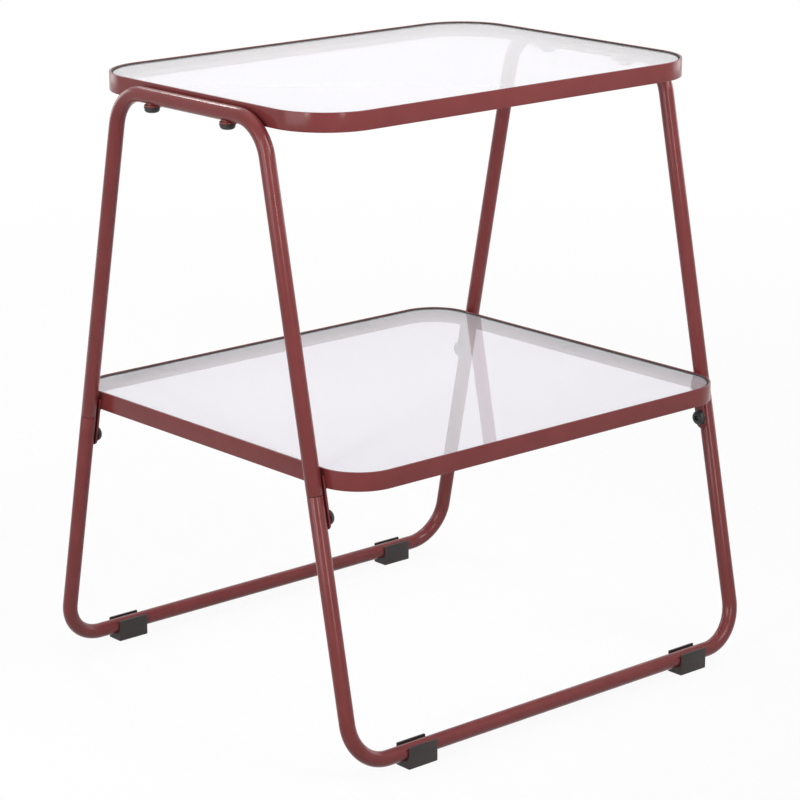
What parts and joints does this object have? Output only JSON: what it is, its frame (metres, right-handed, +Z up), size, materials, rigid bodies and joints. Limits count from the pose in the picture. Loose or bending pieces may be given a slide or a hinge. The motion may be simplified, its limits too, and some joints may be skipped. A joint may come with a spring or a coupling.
{
  "type": "end table with shelf",
  "caption": "Small rectangular end table with a bent tube frame of leaning legs, two rimmed trays with glass panes, bolted lugs and clip-on feet.",
  "frame": {"origin": "middle of the four feet, on the floor", "axes": "+Z up, +X along the long side of the trays to the right, -Y the front"},
  "size_m": [0.4544, 0.4072, 0.5252],
  "materials": {
    "burgundy_paint": "semi-gloss powder coat",
    "glass": "polished, pale",
    "black_fastener": "black coated steel",
    "black_plastic": "fine matte",
    "dark_steel": "dark phosphated steel",
    "clear_rubber": "clear"
  },
  "bodies": {
    "table": {"base_frame_back": "burgundy_paint", "base_frame_front": "burgundy_paint", "foot_back_left": "black_plastic", "foot_back_right": "black_plastic", "foot_front_left": "black_plastic", "foot_front_right": "black_plastic", "joint_sleeve_back_left": "dark_steel", "joint_sleeve_back_right": "dark_steel", "joint_sleeve_front_left": "dark_steel", "joint_sleeve_front_right": "dark_steel", "rivet_nut_back_left": "burgundy_paint", "rivet_nut_back_right": "burgundy_paint", "rivet_nut_front_left": "burgundy_paint", "rivet_nut_front_right": "burgundy_paint", "shelf_bolt_back_left": "black_fastener", "shelf_bolt_back_right": "black_fastener", "shelf_bolt_front_left": "black_fastener", "shelf_bolt_front_right": "black_fastener", "shelf_glass_bumpers": "clear_rubber", "shelf_glass_tabs": "burgundy_paint", "shelf_lug_back_left": "burgundy_paint", "shelf_lug_back_right": "burgundy_paint", "shelf_lug_front_left": "burgundy_paint", "shelf_lug_front_right": "burgundy_paint", "shelf_rim": "burgundy_paint", "shelf_washer_back_left": "black_fastener", "shelf_washer_back_right": "black_fastener", "shelf_washer_front_left": "black_fastener", "shelf_washer_front_right": "black_fastener", "top_bolt_back_left": "black_fastener", "top_bolt_back_right": "black_fastener", "top_bolt_front_left": "black_fastener", "top_bolt_front_right": "black_fastener", "top_glass_bumpers": "clear_rubber", "top_glass_tabs": "burgundy_paint", "top_lug_back_left": "burgundy_paint", "top_lug_back_right": "burgundy_paint", "top_lug_front_left": "burgundy_paint", "top_lug_front_right": "burgundy_paint", "top_rim": "burgundy_paint", "top_washer_back_left": "black_fastener", "top_washer_back_right": "black_fastener", "top_washer_front_left": "black_fastener", "top_washer_front_right": "black_fastener", "upper_frame_left": "burgundy_paint", "upper_frame_right": "burgundy_paint"},
    "top_pane": {"top_glass": "glass"},
    "shelf_pane": {"shelf_glass": "glass"}
  },
  "joints": [
    {"name": "top_glass_lift", "type": "slide", "parent": "table", "child": "top_pane", "axis": [0, 0, 1], "range_m": [0, 0.06]},
    {"name": "shelf_glass_lift", "type": "slide", "parent": "table", "child": "shelf_pane", "axis": [0, 0, 1], "range_m": [0, 0.06]}
  ]
}
